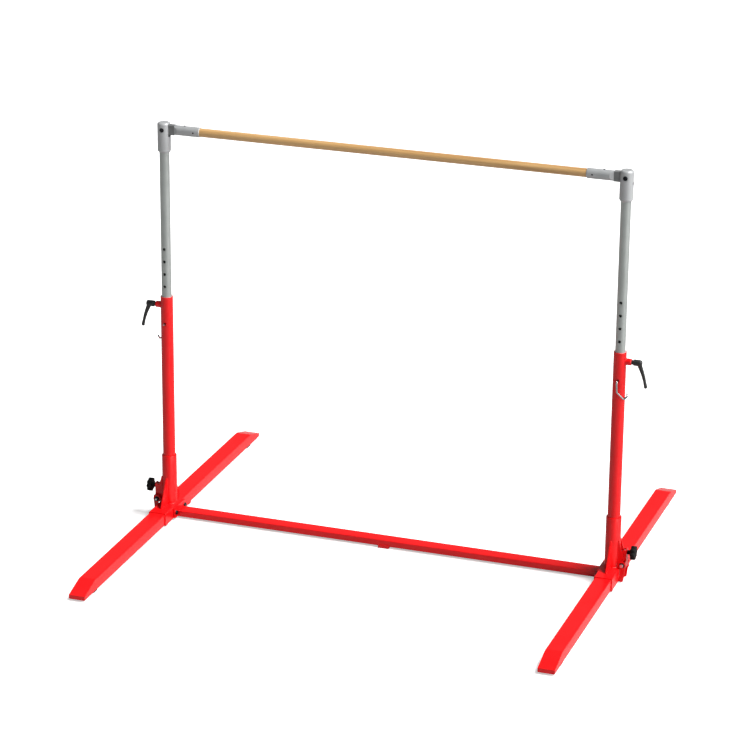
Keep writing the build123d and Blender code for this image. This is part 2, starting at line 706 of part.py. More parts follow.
def crossbar_flange():
    """Plate on the crossbar's end, bolted through the saddle into the foot beam."""
    face = Pos(0, flange_z) * RectangleRounded(flange_depth, flange_height, flange_corner)
    plate = slab_yz(face, -saddle_half - flange_plate, -saddle_half)
    for side in (1, -1):
        plate -= rod_x(flange_bolt_radius + 0.25, -saddle_half - flange_plate - 1,
                       -saddle_half + 1, side * flange_bolt_spacing / 2, flange_z)
    return plate


def flange_bolt():
    """Hexagon bolt through the flange's +Y hole."""
    y = flange_bolt_spacing / 2
    seat = -saddle_half - flange_plate
    bolt = rod_x(flange_bolt_radius, seat, seat + flange_bolt_length, y, flange_z)
    return bolt + hex_x(flange_bolt_flats, seat - flange_bolt_head, seat, y, flange_z)


def mid_foot():
    """Shallow channel block that carries the crossbar's middle on the floor."""
    half = mid_foot_length / 2
    outer = crossbar_depth / 2 + mid_foot_lip
    block = box(-half, half, -outer, outer, 0, beam_bottom + mid_foot_lip_height)
    block -= box(-half - 1, half + 1, -crossbar_depth / 2, crossbar_depth / 2,
                 beam_bottom, beam_bottom + mid_foot_lip_height + 1)
    return chamfer(block.faces().sort_by(Axis.Z)[0].edges(), 1.0)


# ---- assembly --------------------------------------------------------------------------------
def mirrored_y(piece):
    """The twin of a piece across the post's X-Z plane."""
    return mirror(piece, about=Plane.XZ)


to_post = Pos(post_spacing / 2, 0, 0)

single_right = {
    "foot_beam": foot_beam(),
    "saddle": saddle(),
    "socket": socket(),
    "clamp_arm": clamp_arm(),
    "weld_nut": weld_nut(),
    "clamp_stud": clamp_stud(),
    "clamp_knob": clamp_knob(),
    "upright": upright(),
    "guide_bush": guide_bush(),
    "clamp_boss": clamp_boss(),
    "clamp_lever": clamp_lever(),
    "clamp_screw": clamp_screw(),
    "locking_pin": locking_pin(),
    "inner_tube": inner_tube(),
    "head": head(),
    "head_bolt": head_bolt(),
    "head_nut": head_nut(),
    "head_screw": head_screw(),
    "knuckle": knuckle(),
    "end_sleeve": end_sleeve(),
    "crossbar_flange": crossbar_flange(),
}
paired_right = {
    "foot_noses": [foot_nose(), mirrored_y(foot_nose())],
    "gussets": [gusset(), mirrored_y(gusset())],
    "clamp_ears": [clamp_ear(), mirrored_y(clamp_ear())],
}
shared_right = {
    "foot_pads": [foot_pad(), mirrored_y(foot_pad())],
    "saddle_straps": [saddle_strap(), mirrored_y(saddle_strap())],
    "pivot_bolts": [pivot_bolt()],
    "pivot_nuts": [pivot_nut()],
    "pivot_bushes": [pivot_bush(), mirrored_y(pivot_bush())],
    "pivot_washers": [pivot_washer(), mirrored_y(pivot_washer())],
    "flange_bolts": [flange_bolt(), mirrored_y(flange_bolt())],
    "sleeve_screws": [top_screw(), cross_pin()],
}


def solids_of(pieces):
    """The solids in a list of pieces, as one compound of separate bodies."""
    return Compound(children=[solid for piece in pieces for solid in piece.solids()])


nodes = {
    "wooden_bar": wooden_bar(),
    "crossbar": crossbar(),
    "mid_foot": mid_foot(),
}
for name, piece in single_right.items():
    nodes["right_" + name] = to_post * piece
    nodes["left_" + name] = turned(to_post * piece)
for name, pieces in paired_right.items():
    nodes["right_" + name] = solids_of([to_post * piece for piece in pieces])
    nodes["left_" + name] = solids_of([turned(to_post * piece) for piece in pieces])
for name, pieces in shared_right.items():
    placed = [to_post * piece for piece in pieces]
    nodes[name] = solids_of(placed + [turned(piece) for piece in placed])

for name, shape in nodes.items():
    export_step(shape, f"parts/{name}.step")
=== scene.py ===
"""Looks of the kip bar: finished meshes and materials over the CAD frame, camera, floor and light."""
import json
from math import atan2, cos, hypot, pi, radians, sin, sqrt

import bmesh
import bpy
from mathutils import Matrix, Vector, noise


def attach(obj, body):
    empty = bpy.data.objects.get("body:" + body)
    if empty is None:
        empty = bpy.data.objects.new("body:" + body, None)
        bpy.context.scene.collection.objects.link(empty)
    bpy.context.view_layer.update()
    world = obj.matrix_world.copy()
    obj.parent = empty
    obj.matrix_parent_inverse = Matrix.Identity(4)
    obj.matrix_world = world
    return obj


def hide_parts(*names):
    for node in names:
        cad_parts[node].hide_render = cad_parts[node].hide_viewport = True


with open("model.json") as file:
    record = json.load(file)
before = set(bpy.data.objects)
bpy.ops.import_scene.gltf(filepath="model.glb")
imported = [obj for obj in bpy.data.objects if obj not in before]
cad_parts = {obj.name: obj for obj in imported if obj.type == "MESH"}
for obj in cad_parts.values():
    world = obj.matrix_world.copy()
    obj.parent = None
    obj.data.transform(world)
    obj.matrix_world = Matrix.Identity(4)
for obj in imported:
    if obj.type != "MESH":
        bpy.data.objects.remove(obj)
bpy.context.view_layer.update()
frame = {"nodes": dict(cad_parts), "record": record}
nodes = frame["nodes"]

# ---- sizes repeated from the part, in millimetres, from the right-hand post's axis ---------------
POST_X = 900.0
BEAM_BOTTOM, BEAM_TOP, BEAM_HALF, BEAM_WALL, BEAM_CORNER = 8.0, 54.0, 32.0, 2.5, 3.5
NOSE_START = 788.0
SADDLE_TOP, SADDLE_HALF = 57.0, 35.5
SOCKET_R, SOCKET_BORE, SOCKET_TOP = 29.0, 24.45, 255.0
GUSSET_HALF, GUSSET_FOOT, GUSSET_TALL = 2.5, 60.0, 107.0
EAR_INNER, EAR_OUTER, EAR_TALL = 12.5, 16.5, 105.0
UPRIGHT_R, UPRIGHT_BORE, UPRIGHT_TOP = 24.15, 21.15, 909.5
INNER_R, INNER_BORE, INNER_BOTTOM, INNER_TOP = 19.0, 16.5, 652.5, 1536.5
PIN_Z, PITCH, HOLES, HOLE_R = 802.5, 50.0, 7, 5.75
BOSS_Z, BOSS_R, BOSS_END, BOSS_BORE = 873.0, 12.5, 44.15, 6.5
PIVOT_X, PIVOT_Z, ARM_HALF = 44.0, 71.0, 28.0
PIVOT_BOLT_R, PIVOT_FLATS, PIVOT_HEAD, PIVOT_NUT = 4.0, 13.0, 5.5, 6.8
WASHER_R, WASHER_PLATE, WASHER_BORE = 10.0, 2.0, 4.05
WASHER_FACE = ARM_HALF + 0.1 + WASHER_PLATE
BUSH_START, BUSH_END, BUSH_R = 16.5, 24.9, 8.0
STUD_Z, STUD_R, STUD_TIP = 117.0, 5.0, 29.05
KNOB_START, KNOB_FACE, KNOB_END, KNOB_BORE = 58.0, 71.0, 91.0, 5.05
BAR_Z, BAR_R, SLEEVE_R = 1575.0, 16.5, 19.1
SCREW_X, CROSS_PIN_X, CROSS_PIN_R, BAR_END = 85.0, 125.0, 3.2, 73.0
FLANGE_Z, FLANGE_Y, FLANGE_FACE = 30.5, 42.0, -43.5
CROSS_HALF_Y, CROSS_LOW, CROSS_TOP, CROSS_CORNER, CROSS_WALL = 27.0, 8.0, 33.0, 2.5, 2.0
CROSS_X = POST_X - SADDLE_HALF - 8.0
FLANGE_BOLT_R, FLANGE_BOLT_LONG, FLANGE_FLATS, FLANGE_HEAD = 5.0, 30.0, 16.0, 6.5


# ---- looks of the weld beads, in millimetres and radians -----------------------------------------
SOCKET_GAP = 0.32          # the break between the two halves of the socket's weld
SOCKET_BEAD, PLATE_BEAD, EAR_BEAD = 3.2, 2.6, 2.0
RIPPLE_STEP = 2.2          # from one ripple to the next


# ---- materials -----------------------------------------------------------------------------------
class Surface:
    """A Principled material with small helpers for its texture nodes."""

    def __init__(self, name, color, metallic, roughness, **sockets):
        self.material = bpy.data.materials.new(name)
        self.material.use_nodes = True
        self.tree = self.material.node_tree
        self.shader = self.tree.nodes["Principled BSDF"]
        self.shader.inputs["Base Color"].default_value = (*color, 1.0)
        self.shader.inputs["Metallic"].default_value = metallic
        self.shader.inputs["Roughness"].default_value = roughness
        for socket, value in sockets.items():
            self.shader.inputs[socket.replace("_", " ")].default_value = value
        self.place = self.tree.nodes.new("ShaderNodeTexCoord").outputs["Object"]
        self.normal = None

    def link(self, a, b):
        self.tree.links.new(a, b)

    def noise(self, scale, detail=3.0, rough=0.55, distortion=0.0):
        """Noise over the object's own coordinates; scale is one number or one for each axis."""
        node = self.tree.nodes.new("ShaderNodeTexNoise")
        node.inputs["Scale"].default_value = 1.0
        node.inputs["Detail"].default_value = detail
        node.inputs["Roughness"].default_value = rough
        node.inputs["Distortion"].default_value = distortion
        mapping = self.tree.nodes.new("ShaderNodeMapping")
        mapping.inputs["Scale"].default_value = scale if isinstance(scale, tuple) else (scale,) * 3
        self.link(self.place, mapping.inputs["Vector"])
        self.link(mapping.outputs["Vector"], node.inputs["Vector"])
        return node.outputs["Fac"]

    def ramp(self, value, *stops):
        node = self.tree.nodes.new("ShaderNodeValToRGB")
        elements = node.color_ramp.elements
        while len(elements) < len(stops):
            elements.new(0.5)
        for element, (at, color) in zip(elements, stops):
            element.position = at
            element.color = (*color, 1.0)
        self.link(value, node.inputs["Fac"])
        return node.outputs["Color"]

    def spread(self, value, low, high, start=0.3, end=0.7):
        node = self.tree.nodes.new("ShaderNodeMapRange")
        node.inputs["From Min"].default_value = start
        node.inputs["From Max"].default_value = end
        node.inputs["To Min"].default_value = low
        node.inputs["To Max"].default_value = high
        self.link(value, node.inputs["Value"])
        return node.outputs["Result"]

    def mix(self, factor, a, b, mode="MIX"):
        node = self.tree.nodes.new("ShaderNodeMix")
        node.data_type = "RGBA"
        node.blend_type = mode
        ins = [s for s in node.inputs if s.enabled]
        out = [s for s in node.outputs if s.enabled][0]
        for socket, source in zip(ins, (factor, a, b)):
            if isinstance(source, (int, float)):
                socket.default_value = source
            elif isinstance(source, tuple):
                socket.default_value = (*source, 1.0)
            else:
                self.link(source, socket)
        return out

    def bump(self, value, strength, distance):
        node = self.tree.nodes.new("ShaderNodeBump")
        node.inputs["Strength"].default_value = strength
        node.inputs["Distance"].default_value = distance
        self.link(value, node.inputs["Height"])
        if self.normal is not None:
            self.link(self.normal, node.inputs["Normal"])
        self.normal = node.outputs["Normal"]
        self.link(self.normal, self.shader.inputs["Normal"])

    def color(self, output):
        self.link(output, self.shader.inputs["Base Color"])

    def rough(self, output):
        self.link(output, self.shader.inputs["Roughness"])


def paint(name, dark, light, low, high, peel, **sockets):
    """Powder coat: faint cloudiness, orange peel, and fine rubbed marks that are a little duller."""
    s = Surface(name, light, 0.0, low, **sockets)
    s.color(s.ramp(s.noise(9.0, 4.0), (0.30, dark), (0.62, light)))
    marks = s.spread(s.noise((260.0, 260.0, 14.0), 4.0, 0.7), 0.0, 0.05, 0.64, 0.74)
    cloud = s.spread(s.noise(26.0, 5.0, 0.6), low, high)
    add = s.tree.nodes.new("ShaderNodeMath")
    add.operation = "ADD"
    s.link(cloud, add.inputs[0])
    s.link(marks, add.inputs[1])
    s.rough(add.outputs[0])
    s.bump(s.noise(420.0, 2.0, 0.5), peel, 0.0006)
    s.bump(s.noise(1500.0, 2.0, 0.5), peel * 0.5, 0.00015)
    return s.material


def metal(name, dark, light, low, high, grain, strength=0.10, metallic=1.0):
    """Metal with a drawn or brushed grain along the axis that has the smallest scale."""
    s = Surface(name, light, metallic, low)
    streak = s.noise(grain, 5.0, 0.65)
    s.color(s.ramp(s.noise(18.0, 4.0), (0.30, dark), (0.68, light)))
    s.rough(s.spread(streak, low, high))
    s.bump(streak, strength, 0.0001)
    return s.material


def plastic(name, color, low, high, grain, strength, **sockets):
    """Moulded plastic or rubber with a fine spark-eroded grain."""
    s = Surface(name, color, 0.0, low, **sockets)
    lighter = tuple(min(1.0, c * 1.35 + 0.001) for c in color)
    s.color(s.ramp(s.noise(30.0, 3.0), (0.35, color), (0.75, lighter)))
    s.rough(s.spread(s.noise(60.0, 4.0), low, high))
    s.bump(s.noise(grain, 2.0, 0.5), strength, 0.0002)
    return s.material


def varnished_wood():
    """Straight-grained hardwood under a satin varnish: long growth bands, fibres and short pores."""
    s = Surface("varnished_wood", (0.60, 0.36, 0.14), 0.0, 0.36, Coat_Weight=0.35,
                Coat_Roughness=0.22)
    bands = s.noise((1.1, 95.0, 95.0), 6.0, 0.6, 0.25)
    fibres = s.noise((9.0, 900.0, 900.0), 4.0, 0.65)
    pores = s.noise((26.0, 1500.0, 1500.0), 2.0, 0.5)
    base = s.ramp(bands, (0.28, (0.40, 0.205, 0.075)), (0.45, (0.56, 0.325, 0.125)),
                  (0.58, (0.66, 0.41, 0.175)), (0.78, (0.50, 0.28, 0.10)))
    streaks = s.ramp(fibres, (0.35, (0.74, 0.70, 0.64)), (0.62, (1.0, 1.0, 1.0)))
    tinted = s.mix(0.55, base, streaks, "MULTIPLY")
    dark = s.spread(pores, 0.0, 0.55, 0.66, 0.76)
    s.color(s.mix(dark, tinted, (0.22, 0.10, 0.035)))
    s.rough(s.spread(bands, 0.30, 0.44))
    s.bump(fibres, 0.10, 0.0002)
    s.bump(bands, 0.05, 0.0004)
    return s.material


RED = paint("red_powder_coat", (0.74, 0.004, 0.006), (0.79, 0.006, 0.008), 0.20, 0.25, 0.010,
            Specular_IOR_Level=0.42)
HEAD_GREY = paint("head_grey_coat", (0.40, 0.41, 0.415), (0.44, 0.45, 0.455), 0.30, 0.38, 0.03,
                  Metallic=0.2)
TUBE_GREY = metal("satin_tube", (0.38, 0.405, 0.39), (0.42, 0.445, 0.43), 0.30, 0.38,
                  (300.0, 300.0, 5.0), 0.04, metallic=0.55)
SLEEVE_GREY = metal("satin_aluminium", (0.37, 0.38, 0.385), (0.43, 0.44, 0.445), 0.38, 0.46,
                    (6.0, 420.0, 420.0), 0.05, metallic=0.25)
KNUCKLE_GREY = metal("cast_knuckle", (0.15, 0.155, 0.155), (0.20, 0.205, 0.205), 0.45, 0.58,
                     (240.0, 240.0, 240.0), 0.10, metallic=0.2)
ZINC = metal("bright_zinc", (0.55, 0.55, 0.56), (0.72, 0.72, 0.72), 0.22, 0.36,
             (700.0, 700.0, 700.0), 0.10)
STEEL = metal("plain_steel", (0.42, 0.42, 0.42), (0.58, 0.58, 0.58), 0.28, 0.44,
              (500.0, 40.0, 500.0), 0.12)
DARK_STEEL = metal("black_oxide_steel", (0.018, 0.018, 0.02), (0.045, 0.045, 0.05), 0.30, 0.46,
                   (600.0, 600.0, 600.0), 0.12)
CHROME = metal("chrome_wire", (0.36, 0.36, 0.36), (0.48, 0.48, 0.48), 0.10, 0.20,
               (500.0, 500.0, 500.0), 0.02)
BLACK = plastic("black_nylon", (0.014, 0.014, 0.014), 0.36, 0.48, 1400.0, 0.10)
KNOB_BLACK = plastic("knob_black", (0.003, 0.003, 0.003), 0.46, 0.60, 1200.0, 0.10,
                     Specular_IOR_Level=0.15)
NYLON = plastic("white_nylon", (0.62, 0.62, 0.60), 0.34, 0.46, 1000.0, 0.08)
RUBBER = plastic("pad_rubber", (0.016, 0.016, 0.017), 0.60, 0.78, 700.0, 0.35)
WOOD = varnished_wood()

LOOK = {
    "red_paint": RED, "steel": STEEL, "bright_zinc": ZINC, "dark_steel": DARK_STEEL,
    "chrome": CHROME, "head_grey": HEAD_GREY, "knuckle_grey": KNUCKLE_GREY,
    "sleeve_grey": SLEEVE_GREY, "wood": WOOD, "black_plastic": BLACK, "white_nylon": NYLON,
    "rubber": RUBBER,
}
SLOT_OF = {row["node"]: row["material_slot"] for row in frame["record"]["subparts"]}
BODY_OF = {n: b for b, group in frame["record"]["behaviour"]["bodies"].items() for n in group}


# ---- carried-over CAD nodes ----------------------------------------------------------------------
for name, piece in nodes.items():
    look = TUBE_GREY if name.endswith("inner_tube") else LOOK[SLOT_OF[name]]
    piece.data.materials.clear()
    piece.data.materials.append(look)


def soften(name, width):
    """Rounds a CAD node's sharp edges a little, as bending, sawing and coating leave them."""
    bevel = nodes[name].modifiers.new("edges", "BEVEL")
    bevel.width = width * 0.001
    bevel.segments = 2
    bevel.limit_method = "ANGLE"
    bevel.angle_limit = radians(35.0)
    bevel.use_clamp_overlap = True
    bevel.harden_normals = False


# ---- mesh helpers --------------------------------------------------------------------------------
def smooth_edges(bm, angle=32.0):
    """Smooth faces, with sharp edges where the surface turns by more than the angle."""
    limit = radians(angle)
    for face in bm.faces:
        face.smooth = True
    for edge in bm.edges:
        edge.smooth = len(edge.link_faces) == 2 and edge.calc_face_angle(0.0) < limit


def frame_of(axis):
    """Two unit directions across an axis, so that (u, v, axis) is right-handed."""
    w = Vector(axis).normalized()
    u = Vector((0, 0, 1)) if abs(w.z) < 0.9 else Vector((1, 0, 0))
    u = (u - w * u.dot(w)).normalized()
    return u, w.cross(u), w


def lathe(bm, origin, axis, profile, segments=96, shape=None):
    """Turns (distance along the axis, radius) points into a closed solid of revolution. A profile
    that ends where it starts makes a ring. shape(angle, along, radius) may change the radius."""
    u, v, w = frame_of(axis)
    origin = Vector(origin)
    rings = []
    for along, radius in profile:
        if radius < 1e-6:
            rings.append([bm.verts.new(origin + w * along)])
            continue
        ring = []
        for k in range(segments):
            a = 2 * pi * k / segments
            r = shape(a, along, radius) if shape else radius
            ring.append(bm.verts.new(origin + w * along + (u * cos(a) + v * sin(a)) * r))
        rings.append(ring)
    for one, two in zip(rings, rings[1:]):
        for k in range(segments):
            j = (k + 1) % segments
            if len(one) == 1:
                bm.faces.new((one[0], two[k], two[j]))
            elif len(two) == 1:
                bm.faces.new((one[k], one[j], two[0]))
            else:
                bm.faces.new((one[k], one[j], two[j], two[k]))
    if profile[0] == profile[-1]:
        bmesh.ops.remove_doubles(bm, verts=rings[0] + rings[-1], dist=1e-5)
        return
    if len(rings[0]) > 1:
        bm.faces.new(list(reversed(rings[0])))
    if len(rings[-1]) > 1:
        bm.faces.new(rings[-1])


def ring_tube(bm, origin, axis, start, end, outer, inner, chamfer=0.4, segments=96):
    """A round tube with lightly broken ends."""
    c = chamfer
    lathe(bm, origin, axis, [(start, inner), (start, outer - c), (start + c, outer),
                             (end - c, outer), (end, outer - c), (end, inner), (start, inner)],
          segments)


def hex_head(bm, origin, axis, flats, start, end, chamfer=1.0, bore=0.0):
    """A hexagon head or nut, its corners turned off on the outer face (at end)."""
    u, v, w = frame_of(axis)
    origin = Vector(origin)
    turned = flats / 2 - 0.3
    corner = flats / 2 / cos(pi / 6)
    outward = 1 if end > start else -1
    segments = 72
    angles = [2 * pi * k / segments for k in range(segments)]

    def side_r(a):
        return flats / 2 / cos(a % (pi / 3) - pi / 6)

    def slope_z(a):
        return end - outward * (side_r(a) - turned) / (corner - turned) * chamfer

    def ring(points):
        return [bm.verts.new(origin + w * z + (u * cos(a) + v * sin(a)) * r)
                for a, (z, r) in zip(angles, points)]

    def round_ring(z, r):
        return ring([(z, r)] * segments)

    rings = [ring([(start, side_r(a)) for a in angles]),
             ring([(slope_z(a), side_r(a)) for a in angles]), round_ring(end, turned)]
    if bore:
        rings = [round_ring(start, bore)] + rings
        rings += [round_ring(end, bore + 0.6), round_ring(end - 0.6 * outward, bore), rings[0]]
    for one, two in zip(rings, rings[1:]):
        for k in range(segments):
            j = (k + 1) % segments
            bm.faces.new((one[k], one[j], two[j], two[k]))
    if not bore:
        bm.faces.new(list(reversed(rings[0])))
        bm.faces.new(rings[-1])


def evaluated(item, *tools):
    """A new bmesh of an object with its modifiers; the object and its tools are then removed."""
    graph = bpy.context.evaluated_depsgraph_get()
    graph.update()
    data = bpy.data.meshes.new_from_object(item.evaluated_get(graph))
    result = bmesh.new()
    result.from_mesh(data)
    bpy.data.meshes.remove(data)
    for used in (item, *tools):
        mesh = used.data
        bpy.data.objects.remove(used)
        bpy.data.meshes.remove(mesh)
    return result


def cut(bm, cutters):
    """Takes closed cutter meshes out of a closed mesh, and returns the result."""
    def holder(mesh, name):
        data = bpy.data.meshes.new(name)
        bmesh.ops.recalc_face_normals(mesh, faces=mesh.faces)
        mesh.to_mesh(data)
        mesh.free()
        item = bpy.data.objects.new(name, data)
        bpy.context.collection.objects.link(item)
        return item

    body = holder(bm, "cut_body")
    tools = [holder(c, "cut_tool") for c in cutters]
    for tool in tools:
        step = body.modifiers.new("cut", "BOOLEAN")
        step.object = tool
        step.operation = "DIFFERENCE"
        step.solver = "EXACT"
    return evaluated(body, *tools)


def post_matrix(side):
    """From right-hand local millimetres to the row frame in metres."""
    move = Matrix.Scale(0.001, 4) @ Matrix.Translation((POST_X, 0, 0))
    return move if side == "right" else Matrix.Rotation(pi, 4, "Z") @ move


CENTRE = Matrix.Scale(0.001, 4)     # for meshes in millimetres from the object's origin
IN_METRES = Matrix.Identity(4)      # for meshes that are in the row frame already


def finish_piece(name, bm, look, body, stands_for=(), matrix=CENTRE, angle=32.0):
    """Makes the object, smooths it, and rides it on its body."""
    bmesh.ops.transform(bm, matrix=matrix, verts=bm.verts)
    bmesh.ops.recalc_face_normals(bm, faces=bm.faces)
    smooth_edges(bm, angle)
    data = bpy.data.meshes.new(name)
    bm.to_mesh(data)
    bm.free()
    data.materials.append(look)
    piece = bpy.data.objects.new(name, data)
    bpy.context.scene.collection.objects.link(piece)
    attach(piece, body)
    if stands_for:
        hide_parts(*stands_for)


def join(target, source):
    """Adds one bmesh's geometry to another."""
    data = bpy.data.meshes.new("join")
    source.to_mesh(data)
    source.free()
    target.from_mesh(data)
    bpy.data.meshes.remove(data)


# ---- weld beads ----------------------------------------------------------------------------------
def bead(bm, path, size, closed=False, seed=0.0):
    """A rippled fillet weld along a path of (point, direction into the corner's open side)."""
    points = [Vector(p) for p, _ in path]
    opens = [Vector(d).normalized() for _, d in path]
    dense, normals, marks = [], [], []
    count = len(points)
    travelled = 0.0
    for k in range(count if closed else count - 1):
        a, b = points[k], points[(k + 1) % count]
        open_a, open_b = opens[k], opens[(k + 1) % count]
        steps = max(1, int((b - a).length / 0.7))
        for step in range(steps):
            t = step / steps
            dense.append(a.lerp(b, t))
            normals.append(open_a.lerp(open_b, t).normalized())
            marks.append(travelled + (b - a).length * t)
        travelled += (b - a).length
    if not closed:
        dense.append(points[-1])
        normals.append(opens[-1])
        marks.append(travelled)

    n = len(dense)
    sections = 12
    rings = []
    for k, mark in enumerate(marks):
        before = dense[(k - 1) % n] if closed or k else dense[0]
        after = dense[(k + 1) % n] if closed or k < n - 1 else dense[-1]
        along = (after - before).normalized()
        out = (normals[k] - along * normals[k].dot(along)).normalized()
        side = along.cross(out)
        phase = (mark / RIPPLE_STEP + 0.15 * sin(mark * 0.35 + seed)) % 1.0
        ripple = 1.0 + 0.10 * (1 - abs(2 * phase - 1))
        wander = 1.0 + 0.08 * noise.noise(Vector((mark * 0.11, seed, 0.0)))
        r = size * 0.62 * ripple * wander
        if not closed:
            to_end = min(mark, travelled - mark)
            r *= min(1.0, sqrt(max(0.02, to_end / (size * 0.8))))
        angles = [2 * pi * j / sections for j in range(sections)]
        rings.append([bm.verts.new(dense[k] + (out * cos(a) + side * sin(a)) * r) for a in angles])
    pairs = list(zip(rings, rings[1:])) + ([(rings[-1], rings[0])] if closed else [])
    for one, two in pairs:
        for j in range(sections):
            i = (j + 1) % sections
            bm.faces.new((one[j], one[i], two[i], two[j]))
    if not closed:
        bm.faces.new(list(reversed(rings[0])))
        bm.faces.new(rings[-1])


def arc_path(radius, z, segments, start, end):
    """Points on an arc round the post, each opening outwards and upwards."""
    angles = [start + (end - start) * k / segments for k in range(segments + 1)]
    return [((radius * cos(a), radius * sin(a), z), (cos(a), sin(a), 1.0)) for a in angles]


def welded_piece(side, name, bm):
    finish_piece(f"{side}_{name}", bm, RED, "base", matrix=post_matrix(side),
                 angle=50.0)


def welds(side):
    """All the fillet welds on one end of the base."""
    bm = bmesh.new()
    for face in (0, 1):
        middle = SOCKET_GAP / 2 + face * pi
        bead(bm, arc_path(SOCKET_R, SADDLE_TOP, 40, middle - pi / 2, middle + pi / 2 - SOCKET_GAP),
             SOCKET_BEAD, seed=face)
    gusset_y = sqrt(SOCKET_R ** 2 - GUSSET_HALF ** 2)
    for y in (1, -1):
        for x in (1, -1):
            at_x = GUSSET_HALF * x
            bead(bm, [((at_x, y * (SOCKET_R + 3), SADDLE_TOP), (x, 0, 1)),
                      ((at_x, y * (SOCKET_R + GUSSET_FOOT), SADDLE_TOP), (x, 0, 1))],
                 PLATE_BEAD, seed=x + 2 * y)
            bead(bm, [((at_x, y * gusset_y, SADDLE_TOP + 4), (x, y, 0)),
                      ((at_x, y * gusset_y, SADDLE_TOP + GUSSET_TALL), (x, y, 0))],
                 PLATE_BEAD, seed=3 + x + y)
    for y in (1, -1):
        for edge, start_x, away in ((EAR_INNER, 1, -1), (EAR_OUTER, 0, 1)):
            ear_x = sqrt(SOCKET_R ** 2 - edge ** 2)
            bead(bm, [((ear_x, y * edge, SADDLE_TOP + 3), (start_x, y * away, 0)),
                      ((ear_x, y * edge, SADDLE_TOP + EAR_TALL), (1, y * away, 0))],
                 EAR_BEAD, seed=edge)
    welded_piece(side, "base_welds", bm)

    bm = bmesh.new()
    ring = []
    steps = 72
    for k in range(steps):
        a = 2 * pi * k / steps
        y, z = BOSS_R * cos(a), BOSS_R * sin(a)
        ring.append(((sqrt(UPRIGHT_R ** 2 - y ** 2), y, BOSS_Z + z), (1.0, cos(a), sin(a))))
    bead(bm, ring, PLATE_BEAD, closed=True, seed=5)
    welded_piece(side, "boss_weld", bm)

    bm = bmesh.new()
    x, y, low = FLANGE_FACE, CROSS_HALF_Y, CROSS_LOW + 1
    bead(bm, [((x, -y, low), (-1, -1, 0)), ((x, -y, CROSS_TOP), (-1, -1, 1)),
              ((x, y, CROSS_TOP), (-1, 1, 1)), ((x, y, low), (-1, 1, 0))], PLATE_BEAD, seed=8)
    welded_piece(side, "flange_weld", bm)


# ---- tubes, rail and sleeves ---------------------------------------------------------------------
def drill(x, y, z, axis, radius, depth=120.0):
    """A round cutter whose middle is at the point."""
    tool = bmesh.new()
    lathe(tool, (x, y, z), axis, [(-depth / 2, radius), (depth / 2, radius)], 48)
    return tool


def inner_tube(side):
    bm = bmesh.new()
    ring_tube(bm, (0, 0, 0), (0, 0, 1), INNER_BOTTOM, INNER_TOP, INNER_R, INNER_BORE, 0.5)
    tools = [drill(0, 0, PIN_Z + k * PITCH, (0, 1, 0), HOLE_R) for k in range(HOLES)]
    name = f"{side}_inner_tube"
    finish_piece(f"{name}_fine", cut(bm, tools), TUBE_GREY, BODY_OF[name], [name],
                 post_matrix(side))


def upright(side):
    bm = bmesh.new()
    ring_tube(bm, (0, 0, 0), (0, 0, 1), SADDLE_TOP, UPRIGHT_TOP, UPRIGHT_R, UPRIGHT_BORE, 0.5, 112)
    tools = [drill(0, 0, PIN_Z, (0, 1, 0), HOLE_R),
             drill(30, 0, BOSS_Z, (1, 0, 0), BOSS_BORE, 40.0)]
    finish_piece(f"{side}_upright_fine", cut(bm, tools), RED, "base",
                 [f"{side}_upright"], post_matrix(side))


def socket(side):
    """The socket tube: a rounded outer rim and a small chamfer inside its mouth."""
    rim, chamfer = 1.2, 0.45
    bm = bmesh.new()
    lathe(bm, (0, 0, 0), (0, 0, 1),
          [(SADDLE_TOP, SOCKET_BORE), (SADDLE_TOP, SOCKET_R), (SOCKET_TOP - rim, SOCKET_R),
           (SOCKET_TOP - 0.35, SOCKET_R - 0.35), (SOCKET_TOP, SOCKET_R - rim),
           (SOCKET_TOP, SOCKET_BORE + chamfer), (SOCKET_TOP - chamfer, SOCKET_BORE),
           (SADDLE_TOP, SOCKET_BORE)], 112)
    finish_piece(f"{side}_socket_fine", bm, RED, "base", [f"{side}_socket"],
                 post_matrix(side))


def wooden_rail():
    """The rail, in short stretches so that its long faces shade evenly."""
    half, chamfer, stretches = POST_X - BAR_END, 1.0, 60
    bm = bmesh.new()
    profile = [(-half, 0.0), (-half, BAR_R - chamfer), (-half + chamfer, BAR_R)]
    profile += [(-half + chamfer + (2 * half - 2 * chamfer) * k / stretches, BAR_R)
                for k in range(1, stretches)]
    profile += [(half - chamfer, BAR_R), (half, BAR_R - chamfer), (half, 0.0)]
    lathe(bm, (0, 0, BAR_Z), (1, 0, 0), profile, 96)
    finish_piece("wooden_rail", bm, WOOD, BODY_OF["wooden_bar"], ["wooden_bar"])


def rounded_outline(half_u, half_v, radius, steps=8):
    """The (u, v) points of a rectangle with rounded corners."""
    points = []
    for cu, cv, start in ((1, 1, 0.0), (-1, 1, pi / 2), (-1, -1, pi), (1, -1, 3 * pi / 2)):
        for k in range(steps + 1):
            a = start + pi / 2 * k / steps
            points.append((cu * (half_u - radius) + radius * cos(a),
                           cv * (half_v - radius) + radius * sin(a)))
    return points


